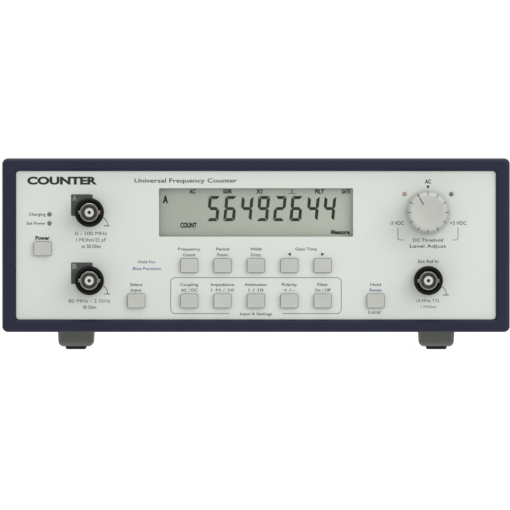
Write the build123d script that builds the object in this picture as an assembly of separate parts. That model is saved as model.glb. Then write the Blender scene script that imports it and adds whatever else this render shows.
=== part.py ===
from build123d import *
import math
import os

# A bench frequency counter: a moulded front bezel round a printed control panel, a folded steel
# case, two signal sockets and a reference socket, a liquid crystal display, thirteen keys, one
# rotary threshold control, four feet with a folding tilt leg in each front foot, and the boards,
# cells and leads inside.
#
# Frame: millimetres, +Z up, +X to the right as the user sees the panel, and the panel faces -Y.
# The origin is on the bench, midway along the whole object's width and depth.
# "Depth" is measured rearwards from the bezel's front plane.

# ---------------------------------------------------------------- driving dimensions
BEZEL_WIDTH = 260.0
BEZEL_HEIGHT = 89.0
BEZEL_DEPTH = 22.0
BEZEL_CORNER = 3.0
BEZEL_EDGE = 2.4
FOOT_LIFT = 9.0  # the bezel's underside above the bench

OPENING_WIDTH = 245.7
OPENING_HEIGHT = 76.0
OPENING_CORNER = 1.6
OPENING_BEVEL = 1.4

FILM_FRONT = 2.2  # depth of the printed film's front face
FILM = 0.4
PANEL = 2.5
PANEL_FRONT = FILM_FRONT + FILM
PANEL_BACK = PANEL_FRONT + PANEL
PANEL_WIDTH = 251.2
PANEL_HEIGHT = 81.8
PANEL_GAP = 0.2
PANEL_CORNER = 2.2

CASE_INSET = 1.8  # the bezel stands this far outside the case
CASE_FRONT = 10.2
CASE_BACK = 234.0
SHEET = 1.2  # cover sheet
PLATE = 1.5  # chassis and rear plate
FOLD_RADIUS = 3.0
SLIP = 0.1  # between parts that slide together

REAR_PLATE_FRONT = 231.5
REAR_PLATE_BACK = REAR_PLATE_FRONT + PLATE
KNOB_PROUD = 14.3  # the knob's face ahead of the bezel's front plane
SCREW_HEAD = 1.7

COVER_LIP_HALF = 110.0
COVER_LIP_Z = 83.0
VENT_SLOTS = 9
VENT_PITCH = 7.0
VENT_LENGTH = 26.0
VENT_WIDTH = 2.6
VENT_Z = 58.0
VENT_FIRST = 132.0
TRAY_SIDE_TOP = 26.0
TRAY_REAR_HALF = 115.0
TRAY_TAB_TOP = 24.0
TAB_HALF = 8.0

CASE_WIDTH = BEZEL_WIDTH - 2 * CASE_INSET
CASE_BOTTOM = FOOT_LIFT + CASE_INSET
CASE_TOP = FOOT_LIFT + BEZEL_HEIGHT - CASE_INSET
MIDDLE_Z = FOOT_LIFT + BEZEL_HEIGHT / 2
CHASSIS_TOP = CASE_BOTTOM + PLATE
TRAY_HALF = CASE_WIDTH / 2 - SHEET - SLIP
FRONT_Y = -(REAR_PLATE_BACK + SCREW_HEAD - KNOB_PROUD) / 2

# Rows on the panel
UPPER_Z = 70.3
LOWER_Z = 35.4
KEY_ROW_UPPER_Z = 43.1
KEY_ROW_LOWER_Z = 25.0

# Keys
KEY_WIDTH = 8.8
KEY_HEIGHT = 7.1
KEY_CORNER = 0.7
KEY_EDGE = 0.35
KEY_CLEAR = 0.15
KEY_FLANGE = 1.1  # how far the retaining flange reaches past the cap
KEY_PITCH = 17.1
KEY_TRAVEL = 0.5
KEY_STEM_R = 1.75
SWITCH = 6.0
SWITCH_HEIGHT = 3.5
SWITCH_FLOOR = 0.5
KEYS = {
    "power_key": (-109.3, 51.7),
    "select_input_key": (-61.3, KEY_ROW_LOWER_Z),
    "frequency_key": (-2 * KEY_PITCH, KEY_ROW_UPPER_Z),
    "period_key": (-KEY_PITCH, KEY_ROW_UPPER_Z),
    "width_key": (0.0, KEY_ROW_UPPER_Z),
    "gate_shorter_key": (KEY_PITCH, KEY_ROW_UPPER_Z),
    "gate_longer_key": (2 * KEY_PITCH, KEY_ROW_UPPER_Z),
    "coupling_key": (-2 * KEY_PITCH, KEY_ROW_LOWER_Z),
    "impedance_key": (-KEY_PITCH, KEY_ROW_LOWER_Z),
    "attenuator_key": (0.0, KEY_ROW_LOWER_Z),
    "polarity_key": (KEY_PITCH, KEY_ROW_LOWER_Z),
    "filter_key": (2 * KEY_PITCH, KEY_ROW_LOWER_Z),
    "hold_key": (61.3, KEY_ROW_LOWER_Z),
}

# Coaxial sockets, of the bayonet kind
SOCKETS = {
    "input_a": (-85.3, UPPER_Z),
    "input_b": (-85.3, LOWER_Z),
    "reference": (88.3, LOWER_Z),
}
SOCKET_FRONT = FILM_FRONT - 14.5
SHELL_R = 4.8
SHELL_BORE_R = 4.1
SHELL_BACK = 16.0
SHELL_EDGE = 0.25
LUG_R = 1.0
LUG_REACH = 5.55
LUG_SETBACK = 4.6
COLLAR_R = 7.45
COLLAR_FRONT = FILM_FRONT - 6.0
COLLAR_EDGE = 0.7
COLLAR_CONE = 1.2
BUSH_R = 6.35
BUSH_BACK = 9.0
DIELECTRIC_R = 2.4
DIELECTRIC_HOLE_R = 0.95
DIELECTRIC_SETBACK = 0.4
DIELECTRIC_EDGE = 0.3
CONTACT_TAIL_R = 0.65
CONTACT_STEP = 2.0
CONTACT_BACK = 20.5
NUT_FLATS = 16.0
NUT = 2.6
CONTACT_R = 1.1
CONTACT_BORE_R = 0.7
CONTACT_BORE = 6.5
CONTACT_FRONT = SOCKET_FRONT + 1.3
SOCKET_FLOOR = SOCKET_FRONT + 8.3

# Display
WINDOW_WIDTH = 99.4
WINDOW_HEIGHT = 24.8
WINDOW_INSET = 3.7
WINDOW_CORNER = 0.6
WINDOW_CLEAR = 0.2
WINDOW_FLANGE = 1.0
FLANGE_WIDTH = 106.0
FLANGE_HEIGHT = 31.0
GLASS_FRONT = 6.2
GLASS_PANE = 1.1
GLASS_WIDTH = 104.0
GLASS_FRONT_HEIGHT = 26.5
GLASS_BACK_HEIGHT = 29.5
HOLDER_WIDTH = 112.0
HOLDER_HEIGHT = 40.0
STRIP_WIDTH = 97.6
STRIP_HEIGHT = 2.0
STRIP_RISE = 13.4  # each contact strip's middle above or below the display's
BOARD_FRONT = 14.1
BOARD = 1.6
BOARD_BACK = BOARD_FRONT + BOARD
DISPLAY_BOARD_WIDTH = 238.0
DISPLAY_BOARD_HEIGHT = 78.0
DISPLAY_BOARD_Z = 54.0
SOCKET_WINDOW_R = 8.0  # the board's hole round each socket
SMALL_CORNER = 0.3

# Threshold control
KNOB_X = 88.1
KNOB_SKIRT_R = 11.5
KNOB_SKIRT = 1.6
KNOB_BASE_R = 10.8
KNOB_FACE_R = 9.5
KNOB_RIM = 0.8
KNOB_DISH = 1.0
KNOB_DISH_SPHERE_R = 30.0
KNOB_BACK = FILM_FRONT - 0.8
KNOB_FLUTES = 12
KNOB_FLUTE = 1.0
KNOB_FLUTE_WIDTH = 0.45
KNOB_CAVITY_R = 8.0
KNOB_CAVITY = 8.0
KNOB_HUB_R = 5.0
KNOB_POINTER_START = 4.6
KNOB_POINTER_WIDTH = 0.8
KNOB_POINTER_CUT = 1.4
POT_SIZE = 14.0
POT_DEPTH = 6.5
SHAFT_R = 3.0
SHAFT_FRONT = -8.0
SHAFT_FIT = 0.05
POT_BUSH_R = 3.6
KNOB_POINTER_DEG = 30.0  # the pointer's lean to the left of upright

LAMP_R = 1.05
LAMP_PROUD = 0.7
LAMP_BASE = 2.0
LAMP_CLEAR = 0.05
LAMP_FOOT = 0.4  # how far its base reaches past the lens
LEDS_STATUS = [(-105.8, 69.3), (-105.8, 64.7)]
LEDS_THRESHOLD = [(KNOB_X - 12.0, 79.7), (KNOB_X + 12.0, 79.7)]

# Feet
FOOT_BOTTOM = 1.5
FOOT_TAPER = 0.5
FOOT_LOWER_EDGE = 2.6
FOOT_UPRIGHT_EDGE = 4.0
FOOT_SCREW_R = 1.6
FOOT_SCREW_HEAD_R = 3.3
FOOT_SCREW_SEAT = 7.6
LEG_SCREW_SEAT = 7.8
LEG_SCREW_SETBACK = 38.0
FRONT_FOOT_X = 92.5
FRONT_FOOT_WIDTH = 18.8
FRONT_FOOT_FRONT = 25.0
FRONT_FOOT_LENGTH = 52.0
REAR_FOOT_X = 94.5
REAR_FOOT_WIDTH = 14.0
REAR_FOOT_FRONT = 194.0
REAR_FOOT_LENGTH = 24.0
PAD_WIDTH = 10.8
PAD_LENGTH = 12.0
PAD_SETBACK = 3.0
PAD_SUNK = 1.0
LEG_HINGE = 21.0  # behind the foot's front
LEG_HINGE_Z = 4.4
LEG_LENGTH = 26.0
LEG_WIDTH = 10.2
LEG_PIN_R = 1.25
LEG_PIN_HALF = 8.2
LEG_BARREL_R = 2.6
LEG_UNDER = 2.4  # the arm below and above its hinge line
LEG_OVER = 1.2
LEG_SLOT_TOP = 7.8
LEG_SLOT_CLEAR = 0.3
LEG_PIN_CLEAR = 0.05
LEG_TIP_EDGE = 1.6
NOTCH_HALF = 3.0  # the fingernail notch under the leg's tip
NOTCH_LENGTH = 2.0
NOTCH_SETBACK = 3.0

# Main board
STANDOFF = 6.0
STANDOFF_FLATS = 5.5
BOARD_SCREW = 5.5
BOARD_HOLE_R = 1.6
MAIN_BOARD_BOTTOM = CHASSIS_TOP + STANDOFF
MAIN_BOARD_TOP = MAIN_BOARD_BOTTOM + BOARD
MAIN_BOARD_LEFT = -118.0
MAIN_BOARD_RIGHT = 58.0
MAIN_BOARD_FRONT = 32.0
MAIN_BOARD_BACK = 227.0

# Rear connectors, on the main board
CONNECTOR_BACK = REAR_PLATE_BACK + 0.4
USB_X = -38.0
USB_WIDTH = 12.0
USB_HEIGHT = 11.0
USB_LENGTH = 16.0
USB_Z = MAIN_BOARD_TOP + USB_HEIGHT / 2
USB_MOUTH_WIDTH = 8.6
USB_MOUTH_HEIGHT = 7.9
USB_MOUTH_BEVEL = 1.7
USB_WALL = 2.0
USB_TONGUE_WIDTH = 5.6
USB_TONGUE_HEIGHT = 3.2
USB_TONGUE_SETBACK = 1.2
DC_X = -72.0
DC_Z = MAIN_BOARD_TOP + 6.0
DC_WIDTH = 9.0
DC_HEIGHT = 11.0
DC_LENGTH = 16.0
DC_COLLAR_R = 4.2
DC_BORE_R = 3.15
DC_BORE = 10.0
DC_PIN_R = 1.0
DC_PIN_SETBACK = 1.0
REAR_CUTOUT = 0.2  # the rear plate's clearance round each connector

# Cells, in a tray beside the main board
CELL_R = 7.15
CELL_LENGTH = 50.0
CELL_PITCH = 15.0
CELL_X = 92.0
CELL_DEPTH = 120.0
CELL_CAP = 1.2
CELL_CAP_R = 2.7
TRAY_WALL = 1.6
TRAY_HEIGHT = 9.0
TRAY_END = 3.0  # beyond the cells at each end
TRAY_FLOOR = CHASSIS_TOP + TRAY_WALL
TRAY_LEFT = CELL_X - 1.5 * CELL_PITCH - 2
TRAY_RIGHT = CELL_X + 1.5 * CELL_PITCH + 2

# Leads: where each ends on the main board, (x, depth)
COAX_ENDS = {"input_a": (-85.3, 45.0), "input_b": (-74.0, 45.0), "reference": (40.0, 45.0)}
RIBBON_Z = 38.0
RIBBON_DEPTH = 44.0
RIBBON_WIDTH = 22.0
RIBBON = 0.9
HEADER = 8.0
HEADER_WIDTH = 26.0
SMALL_HEADER = 6.0
COAX_R = 1.3
COAX_HEADER_R = 2.6
LEAD_START = CONTACT_BACK
CELL_LEAD_DEPTH = 92.0
CELL_LEAD_RUN = 21.0

# Screws and their places
POST_R = 3.0
PANEL_SCREW_R = 1.1
PANEL_SCREW = 5.5
PANEL_SCREW_HEAD_R = 2.4
PANEL_SCREW_HEAD = 1.4
PANEL_SCREW_REACH = 4.6
M3_R = 1.5
M3_HEAD_R = 2.9
CASE_SCREW = 5.0
FOOT_SCREW = 6.0
FOOT_SCREW_HEAD = 1.8
LEG_SCREW_HEAD = 1.2
PANEL_SCREW_HOLE_R = 1.3
TAB_HOLE_R = 1.2
COVER_HOLE_R = 1.7
DISPLAY_POSTS = [(sx * x, z) for sx in (-1, 1) for x, z in ((114, 88), (114, 28), (66, 56))]
TAB_POSTS = [(-102.0, 18.5), (102.0, 18.5)]
MAIN_STANDOFFS = [(x, d) for x in (-112, -22, 52) for d in (38, 221)]
SIDE_SCREWS = [(side, d) for side in (-1, 1) for d in (52, 196)]
SIDE_SCREW_Z = 19.0
REAR_SCREWS = [(x, z) for x in (-100, 100) for z in (18.5, 89.5)]


# ---------------------------------------------------------------- building blocks
def block(x0, x1, d0, d1, z0, z1):
    """A box from its limits across, in depth and up."""
    centre = Pos((x0 + x1) / 2, FRONT_Y + (d0 + d1) / 2, (z0 + z1) / 2)
    return centre * Box(x1 - x0, d1 - d0, z1 - z0)


def rod(x, z, d0, d1, radius):
    """A cylinder along the depth."""
    return Pos(x, FRONT_Y + (d0 + d1) / 2, z) * Rot(90, 0, 0) * Cylinder(radius, d1 - d0)


def post(x, d, z0, z1, radius):
    """An upright cylinder."""
    return Pos(x, FRONT_Y + d, (z0 + z1) / 2) * Cylinder(radius, z1 - z0)


def cross_rod(x0, x1, d, z, radius):
    """A cylinder across the width."""
    return Pos((x0 + x1) / 2, FRONT_Y + d, z) * Rot(0, 90, 0) * Cylinder(radius, abs(x1 - x0))


def slab(outline, d0, d1):
    """An outline in panel coordinates (x, z), thickened from depth d0 back to d1."""
    back = Plane(origin=(0, FRONT_Y + d1, 0), x_dir=(1, 0, 0), z_dir=(0, -1, 0))
    return extrude(back * outline, d1 - d0)


def rounded(width, height, corner, x=0.0, z=MIDDLE_Z):
    """A rounded rectangle in panel coordinates."""
    return Pos(x, z) * RectangleRounded(width, height, corner)


def round_outline(radius, x, z):
    """A circle in panel coordinates."""
    return Pos(x, z) * Circle(radius)


def turned(outline_points, x, z):
    """A solid of revolution about the depth axis at (x, z), from (radius, depth) points."""
    flat = Plane(origin=(x, FRONT_Y, z), x_dir=(1, 0, 0), z_dir=(0, 0, 1))
    face = make_face(flat * Polyline(*outline_points, close=True))
    axis = Axis((x, FRONT_Y, z), (0, 1, 0))
    return revolve(face, axis)


def screw(at, outward, shank_r, length, head_r, head=SCREW_HEAD):
    """A pan-head screw with a cross recess. Its head's seat is at the point, and it faces outward."""
    seat = Plane(origin=at, z_dir=outward)
    body = Pos(0, 0, head / 2) * Cylinder(head_r, head)
    body = fillet(body.edges().sort_by(Axis.Z)[-1], head * 0.45)
    for turn in (0, 90):
        body -= Pos(0, 0, head) * Rot(0, 0, turn) * Box(head_r * 1.15, head_r * 0.26, head)
    body += Pos(0, 0, -length / 2) * Cylinder(shank_r, length)
    return seat * body


def tube_along(points, radii, radius):
    """A round lead whose route is straight runs joined by arcs."""
    route = FilletPolyline(*[(x, FRONT_Y + d, z) for x, d, z in points], radius=radii)
    return sweep(Plane(origin=route @ 0, z_dir=route % 0) * Circle(radius), path=route)


def hexagon_ring(x, z, d0, d1, across_flats, hole_r):
    """A hexagonal nut about the depth axis."""
    outline = Pos(x, z) * RegularPolygon(across_flats / 2, 6, major_radius=False)
    return slab(outline - round_outline(hole_r, x, z), d0, d1)


# ---------------------------------------------------------------- front
def front_bezel():
    """The moulded frame: a bevelled lip over the panel's edge and a skirt round the case."""
    body = slab(rounded(BEZEL_WIDTH, BEZEL_HEIGHT, BEZEL_CORNER), 0, BEZEL_DEPTH)
    body = fillet(body.faces().sort_by(Axis.Y)[0].edges(), BEZEL_EDGE)
    body -= slab(rounded(OPENING_WIDTH, OPENING_HEIGHT, OPENING_CORNER), -1, BEZEL_DEPTH)
    lip = body.faces().sort_by(Axis.Y)[0].inner_wires()[0].edges()
    body = chamfer(lip, OPENING_BEVEL)
    seat = rounded(PANEL_WIDTH + PANEL_GAP * 2, PANEL_HEIGHT + PANEL_GAP * 2, PANEL_CORNER)
    body -= slab(seat, FILM_FRONT, BEZEL_DEPTH)
    across, tall = CASE_WIDTH + 3 * SLIP, CASE_TOP - CASE_BOTTOM + 3 * SLIP
    square_foot = Pos(0, MIDDLE_Z - tall / 4) * Rectangle(across, tall / 2)
    sleeve = rounded(across, tall, FOLD_RADIUS) + square_foot
    return body - slab(sleeve, CASE_FRONT, BEZEL_DEPTH + 1)


def panel_holes(grow):
    """Every opening through the panel, in panel coordinates."""
    width, height = KEY_WIDTH + 2 * KEY_CLEAR, KEY_HEIGHT + 2 * KEY_CLEAR
    holes = [
        rounded(width + grow, height + grow, KEY_CORNER + KEY_CLEAR, x, z) for x, z in KEYS.values()
    ]
    corner = WINDOW_CORNER + WINDOW_CLEAR
    holes.append(rounded(WINDOW_WIDTH + grow, WINDOW_HEIGHT + grow, corner, 0, UPPER_Z))
    holes += [round_outline(BUSH_R + SLIP + grow, x, z) for x, z in SOCKETS.values()]
    holes += [round_outline(LAMP_R + LAMP_CLEAR + grow, x, z) for x, z in LEDS_STATUS + LEDS_THRESHOLD]
    holes.append(round_outline(POT_BUSH_R + SLIP + grow, KNOB_X, UPPER_Z))
    return holes


def panel_film():
    """The printed film, stuck to the panel's face."""
    outline = rounded(PANEL_WIDTH, PANEL_HEIGHT, PANEL_CORNER)
    for hole in panel_holes(LAMP_CLEAR):
        outline -= hole
    return slab(outline, FILM_FRONT, PANEL_FRONT)


def front_panel():
    """The moulded panel, with posts behind for the display board and the chassis tabs."""
    outline = rounded(PANEL_WIDTH, PANEL_HEIGHT, PANEL_CORNER)
    for hole in panel_holes(0):
        outline -= hole
    body = slab(outline, PANEL_FRONT, PANEL_BACK)
    for x, z in DISPLAY_POSTS:
        body += rod(x, z, PANEL_BACK, BOARD_FRONT, POST_R)
        body -= rod(x, z, BOARD_FRONT - PANEL_SCREW_REACH, BOARD_FRONT, PANEL_SCREW_R)
    for x, z in TAB_POSTS:
        body += rod(x, z, PANEL_BACK, CASE_FRONT, POST_R)
        body -= rod(x, z, CASE_FRONT - PANEL_SCREW_REACH, CASE_FRONT, PANEL_SCREW_R)
    return body


def display_window():
    """The clear window: a raised pane in the panel's opening and a flange behind it."""
    width, height = WINDOW_WIDTH - 2 * WINDOW_CLEAR, WINDOW_HEIGHT - 2 * WINDOW_CLEAR
    pane = slab(rounded(width, height, WINDOW_CORNER, 0, UPPER_Z), WINDOW_INSET, PANEL_BACK)
    flange = rounded(FLANGE_WIDTH, FLANGE_HEIGHT, WINDOW_FLANGE, 0, UPPER_Z)
    return pane + slab(flange, PANEL_BACK, PANEL_BACK + WINDOW_FLANGE)


def display_glass():
    """The liquid crystal cell: two bonded panes, the front one shorter to leave contact ledges."""
    front = rounded(GLASS_WIDTH, GLASS_FRONT_HEIGHT, SMALL_CORNER, 0, UPPER_Z)
    back = rounded(GLASS_WIDTH, GLASS_BACK_HEIGHT, SMALL_CORNER, 0, UPPER_Z)
    joint, rear = GLASS_FRONT + GLASS_PANE, GLASS_FRONT + 2 * GLASS_PANE
    return slab(front, GLASS_FRONT, joint) + slab(back, joint, rear)


def display_holder():
    """The frame that holds the cell against the window and carries the contact strips."""
    outline = rounded(HOLDER_WIDTH, HOLDER_HEIGHT, 1.5, 0, UPPER_Z)
    body = slab(outline, PANEL_BACK + WINDOW_FLANGE, BOARD_FRONT)
    width, height = GLASS_WIDTH + 4 * SLIP, GLASS_BACK_HEIGHT + 4 * SLIP
    pocket = rounded(width, height, SMALL_CORNER + SLIP, 0, UPPER_Z)
    body -= slab(pocket, PANEL_BACK, GLASS_FRONT + 2 * GLASS_PANE)
    for side in (-1, 1):
        z = UPPER_Z + side * STRIP_RISE
        slot = rounded(STRIP_WIDTH + 4 * SLIP, STRIP_HEIGHT + 2 * SLIP, SMALL_CORNER, 0, z)
        body -= slab(slot, GLASS_FRONT, BOARD_FRONT + 1)
    return body


def contact_strips():
    """The two elastomer strips that join the cell's ledges to the board."""
    places = (UPPER_Z - STRIP_RISE, UPPER_Z + STRIP_RISE)
    strips = [rounded(STRIP_WIDTH, STRIP_HEIGHT, SMALL_CORNER, 0, z) for z in places]
    return Compound([slab(strip, GLASS_FRONT + 2 * GLASS_PANE, BOARD_FRONT) for strip in strips])


def key(x, z):
    """One key: a soft-edged cap, a retaining flange behind the panel and a stem to its switch."""
    cap = slab(rounded(KEY_WIDTH, KEY_HEIGHT, KEY_CORNER, x, z), 0, PANEL_BACK + SLIP)
    cap = fillet(cap.faces().sort_by(Axis.Y)[0].edges(), KEY_EDGE)
    flange = rounded(KEY_WIDTH + 2 * KEY_FLANGE, KEY_HEIGHT + 2 * KEY_FLANGE, KEY_CORNER, x, z)
    cap += slab(flange, PANEL_BACK + SLIP, PANEL_BACK + 1 + SLIP)
    stem_end = BOARD_FRONT - SWITCH_FLOOR - KEY_TRAVEL - SLIP
    return cap + rod(x, z, PANEL_BACK + 1 + SLIP, stem_end, KEY_STEM_R)


def key_switches():
    """The momentary switches on the display board, one behind each key."""
    switches = []
    for x, z in KEYS.values():
        body = slab(rounded(SWITCH, SWITCH, SMALL_CORNER, x, z), BOARD_FRONT - SWITCH_HEIGHT, BOARD_FRONT)
        well = rod(x, z, BOARD_FRONT - SWITCH_HEIGHT - 1, BOARD_FRONT - SWITCH_FLOOR, KEY_STEM_R + SLIP)
        switches.append(body - well)
    return Compound(switches)


def lamp(x, z):
    """An indicator lamp with a domed tip, standing on the display board."""
    body = rod(x, z, FILM_FRONT - LAMP_PROUD, BOARD_FRONT - LAMP_BASE, LAMP_R)
    body = fillet(body.faces().sort_by(Axis.Y)[0].edges(), LAMP_R * 0.8)
    return body + rod(x, z, BOARD_FRONT - LAMP_BASE, BOARD_FRONT, LAMP_R + LAMP_FOOT)


def indicator_lamps():
    """The two status lamps beside the power key and the two over the threshold knob."""
    return Compound([lamp(x, z) for x, z in LEDS_STATUS + LEDS_THRESHOLD])


def display_board():
    """The board behind the panel, with clearance holes round the sockets."""
    outline = rounded(DISPLAY_BOARD_WIDTH, DISPLAY_BOARD_HEIGHT, BOARD, 0, DISPLAY_BOARD_Z)
    for x, z in SOCKETS.values():
        outline -= round_outline(SOCKET_WINDOW_R, x, z)
    for x, z in DISPLAY_POSTS:
        outline -= round_outline(PANEL_SCREW_HOLE_R, x, z)
    return slab(outline, BOARD_FRONT, BOARD_BACK)


def panel_screws():
    """The small screws behind the panel: six through the display board, two through the tabs."""
    places = [(x, FRONT_Y + BOARD_BACK, z) for x, z in DISPLAY_POSTS]
    places += [(x, FRONT_Y + CASE_FRONT + PLATE, z) for x, z in TAB_POSTS]
    size = (PANEL_SCREW_R, PANEL_SCREW, PANEL_SCREW_HEAD_R, PANEL_SCREW_HEAD)
    return Compound([screw(at, (0, 1, 0), *size) for at in places])


# ---------------------------------------------------------------- sockets
def socket_shell(x, z):
    """The metal barrel of a coaxial socket, with its two bayonet lugs."""
    body = rod(x, z, SOCKET_FRONT, SHELL_BACK, SHELL_R)
    body = chamfer(body.faces().sort_by(Axis.Y)[0].edges(), SHELL_EDGE)
    lug_depth = SOCKET_FRONT + LUG_SETBACK
    body += cross_rod(x - LUG_REACH, x + LUG_REACH, lug_depth, z, LUG_R)
    return body - rod(x, z, SOCKET_FRONT - 1, SHELL_BACK + 1, SHELL_BORE_R)


def socket_collars():
    """The black insulating bushes: a round collar on the panel and a threaded neck through it."""
    made = []
    for x, z in SOCKETS.values():
        profile = [
            (SHELL_R + COLLAR_CONE, COLLAR_FRONT),
            (COLLAR_R - COLLAR_EDGE, COLLAR_FRONT),
            (COLLAR_R, COLLAR_FRONT + COLLAR_EDGE),
            (COLLAR_R, FILM_FRONT),
            (BUSH_R, FILM_FRONT),
            (BUSH_R, BUSH_BACK),
            (SHELL_R, BUSH_BACK),
            (SHELL_R, COLLAR_FRONT + COLLAR_CONE),
        ]
        made.append(turned(profile, x, z))
    return Compound(made)


def socket_dielectrics():
    """The white insulators that hold the centre contacts."""
    made = []
    front = SOCKET_FRONT + DIELECTRIC_SETBACK
    for x, z in SOCKETS.values():
        profile = [
            (DIELECTRIC_HOLE_R, front),
            (DIELECTRIC_R - DIELECTRIC_EDGE, front),
            (DIELECTRIC_R, front + DIELECTRIC_EDGE),
            (DIELECTRIC_R, SOCKET_FLOOR),
            (SHELL_BORE_R, SOCKET_FLOOR),
            (SHELL_BORE_R, SHELL_BACK - 1),
            (CONTACT_TAIL_R, SHELL_BACK - 1),
            (CONTACT_TAIL_R, CONTACT_STEP),
            (CONTACT_R, CONTACT_STEP),
            (CONTACT_R, CONTACT_FRONT),
            (DIELECTRIC_HOLE_R, CONTACT_FRONT),
        ]
        made.append(turned(profile, x, z))
    return Compound(made)


def socket_contacts():
    """The plated centre contacts, bored in front for the plug's pin."""
    made = []
    for x, z in SOCKETS.values():
        body = rod(x, z, CONTACT_FRONT, CONTACT_STEP, CONTACT_R)
        body += rod(x, z, CONTACT_STEP, CONTACT_BACK, CONTACT_TAIL_R)
        made.append(body - rod(x, z, CONTACT_FRONT - 1, CONTACT_FRONT + CONTACT_BORE, CONTACT_BORE_R))
    return Compound(made)


def socket_nuts():
    """The hexagonal nuts that clamp the bushes to the panel."""
    size = (PANEL_BACK, PANEL_BACK + NUT, NUT_FLATS, BUSH_R)
    return Compound([hexagon_ring(x, z, *size) for x, z in SOCKETS.values()])


# ---------------------------------------------------------------- threshold control
def threshold_pot():
    """The rotary potentiometer's housing and bush, on the display board."""
    front = BOARD_FRONT - POT_DEPTH
    body = slab(rounded(POT_SIZE, POT_SIZE, 0.8, KNOB_X, UPPER_Z), front, BOARD_FRONT)
    body += rod(KNOB_X, UPPER_Z, PANEL_FRONT + SLIP, front, POT_BUSH_R)
    return body - rod(KNOB_X, UPPER_Z, 0, BOARD_FRONT - 2, SHAFT_R + SHAFT_FIT)


def threshold_shaft():
    """The control's round shaft."""
    return rod(KNOB_X, UPPER_Z, SHAFT_FRONT, BOARD_FRONT - 2.5, SHAFT_R)


def threshold_knob():
    """The knob: a skirt, a tapered fluted grip, a dished face and an engraved pointer line."""
    front = -KNOB_PROUD
    profile = [
        (0, front),
        (KNOB_FACE_R, front),
        (KNOB_BASE_R, KNOB_BACK - KNOB_SKIRT),
        (KNOB_SKIRT_R, KNOB_BACK - KNOB_SKIRT),
        (KNOB_SKIRT_R, KNOB_BACK),
        (KNOB_CAVITY_R, KNOB_BACK),
        (KNOB_CAVITY_R - 1, KNOB_BACK - KNOB_CAVITY),
        (KNOB_HUB_R, KNOB_BACK - KNOB_CAVITY),
        (KNOB_HUB_R, KNOB_BACK),
        (SHAFT_R, KNOB_BACK),
        (SHAFT_R, SHAFT_FRONT),
        (0, SHAFT_FRONT),
    ]
    body = turned(profile, KNOB_X, UPPER_Z)
    circles = body.edges().filter_by(GeomType.CIRCLE)
    body = fillet(circles.sort_by(Axis.Y)[0], KNOB_RIM)
    widest = body.edges().filter_by(GeomType.CIRCLE).sort_by(SortBy.RADIUS)[-2:]
    body = fillet(widest.sort_by(Axis.Y)[0], KNOB_SKIRT / 3)
    dish_y = FRONT_Y + front + KNOB_DISH - KNOB_DISH_SPHERE_R
    body -= Pos(KNOB_X, dish_y, UPPER_Z) * Sphere(KNOB_DISH_SPHERE_R)
    return body - knob_flutes() - knob_pointer()


def knob_flute(turn, width):
    """One narrow flute down the grip's taper, at a turn in degrees from upright."""
    length = KNOB_BACK - KNOB_SKIRT + KNOB_PROUD
    lean = math.degrees(math.atan2(KNOB_BASE_R - KNOB_FACE_R, length))
    radius = (KNOB_FACE_R + KNOB_BASE_R) / 2
    blade = Pos(0, 0, radius) * Rot(lean, 0, 0) * Box(width, 3 * length, 2 * KNOB_FLUTE)
    grip = rod(KNOB_X, UPPER_Z, -KNOB_PROUD - 1, KNOB_BACK - KNOB_SKIRT - 0.3, KNOB_SKIRT_R)
    return Pos(KNOB_X, FRONT_Y - KNOB_PROUD + length / 2, UPPER_Z) * Rot(0, turn, 0) * blade & grip


def knob_flutes():
    """The flutes round the grip, one at each twelfth of a turn but the pointer's."""
    step = 360 / KNOB_FLUTES
    turns = [index * step - KNOB_POINTER_DEG for index in range(1, KNOB_FLUTES)]
    return [knob_flute(turn, KNOB_FLUTE_WIDTH) for turn in turns]


def knob_pointer():
    """The engraved line across the knob's rim and down its side, cut at the pointer's lean."""
    length = KNOB_SKIRT_R + 1 - KNOB_POINTER_START
    cut = Box(KNOB_POINTER_WIDTH, 2 * KNOB_POINTER_CUT, length)
    cut = Rot(0, -KNOB_POINTER_DEG, 0) * Pos(0, 0, KNOB_POINTER_START + length / 2) * cut
    across_rim = Pos(KNOB_X, FRONT_Y - KNOB_PROUD, UPPER_Z) * cut
    return [across_rim, knob_flute(-KNOB_POINTER_DEG, KNOB_POINTER_WIDTH)]


# ---------------------------------------------------------------- case
def top_cover():
    """The folded cover: top and two sides, a rear lip, ventilation slots and screw holes."""
    tall = CASE_TOP - CASE_BOTTOM + 20
    middle = CASE_TOP - tall / 2
    outer = rounded(CASE_WIDTH, tall, FOLD_RADIUS, 0, middle)
    inner = rounded(CASE_WIDTH - 2 * SHEET, tall - 2 * SHEET, FOLD_RADIUS - SHEET, 0, middle)
    body = slab(outer - inner, CASE_FRONT, CASE_BACK)
    body -= block(-CASE_WIDTH, CASE_WIDTH, 0, CASE_BACK + 1, CASE_BOTTOM - 30, CASE_BOTTOM)
    lip = (-COVER_LIP_HALF, COVER_LIP_HALF, REAR_PLATE_FRONT - SHEET, REAR_PLATE_FRONT)
    body += block(*lip, COVER_LIP_Z, CASE_TOP - SHEET / 2)
    for index in range(VENT_SLOTS):
        at = (0, FRONT_Y + VENT_FIRST + VENT_PITCH * index, VENT_Z)
        side_on = Plane(origin=at, x_dir=(0, 0, 1), z_dir=(1, 0, 0))
        body -= extrude(side_on * SlotOverall(VENT_LENGTH, VENT_WIDTH), CASE_WIDTH, both=True)
    for side, d in SIDE_SCREWS:
        body -= cross_rod(side * (CASE_WIDTH / 2 - 3), side * CASE_WIDTH, d, SIDE_SCREW_Z, COVER_HOLE_R)
    for x, z in REAR_SCREWS[1::2]:
        body -= rod(x, z, REAR_PLATE_FRONT - 3, REAR_PLATE_FRONT + 1, M3_R)
    return body


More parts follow.
